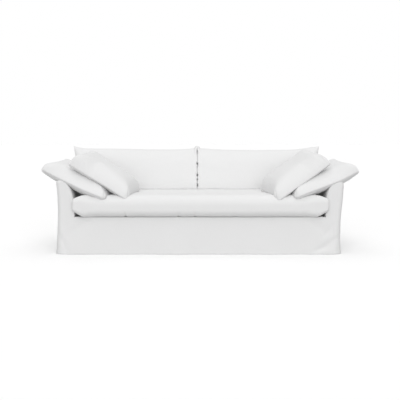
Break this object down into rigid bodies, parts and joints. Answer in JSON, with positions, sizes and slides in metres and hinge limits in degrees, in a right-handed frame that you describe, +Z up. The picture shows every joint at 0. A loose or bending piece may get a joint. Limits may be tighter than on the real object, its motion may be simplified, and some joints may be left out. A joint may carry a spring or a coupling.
{
  "type": "sofa slipcover set",
  "caption": "White loose slipcover for a long sofa, hollow down to the floor, with its covered bench seat, back cushions and slouching loose pillows.",
  "frame": {"origin": "on the floor under the middle of the sofa", "axes": "+X to the right seen from the front, +Y to the back, +Z up; the front faces -Y"},
  "size_m": [2.724, 1.1469, 0.93],
  "materials": {
    "linen": "matte white linen and cotton cloth"
  },
  "bodies": {
    "root": {"cover_front": "linen", "cover_outside_arm_left": "linen", "cover_outside_arm_right": "linen", "cover_outside_back": "linen", "cover_inside_arm_left": "linen", "cover_inside_arm_right": "linen", "cover_inside_back": "linen", "cover_deck": "linen", "seat_cushion": "linen", "back_cushion_left": "linen", "back_cushion_right": "linen", "pillow_left_arm": "linen", "pillow_left_leaning": "linen", "pillow_right_arm": "linen", "pillow_right_leaning": "linen"}
  },
  "joints": []
}
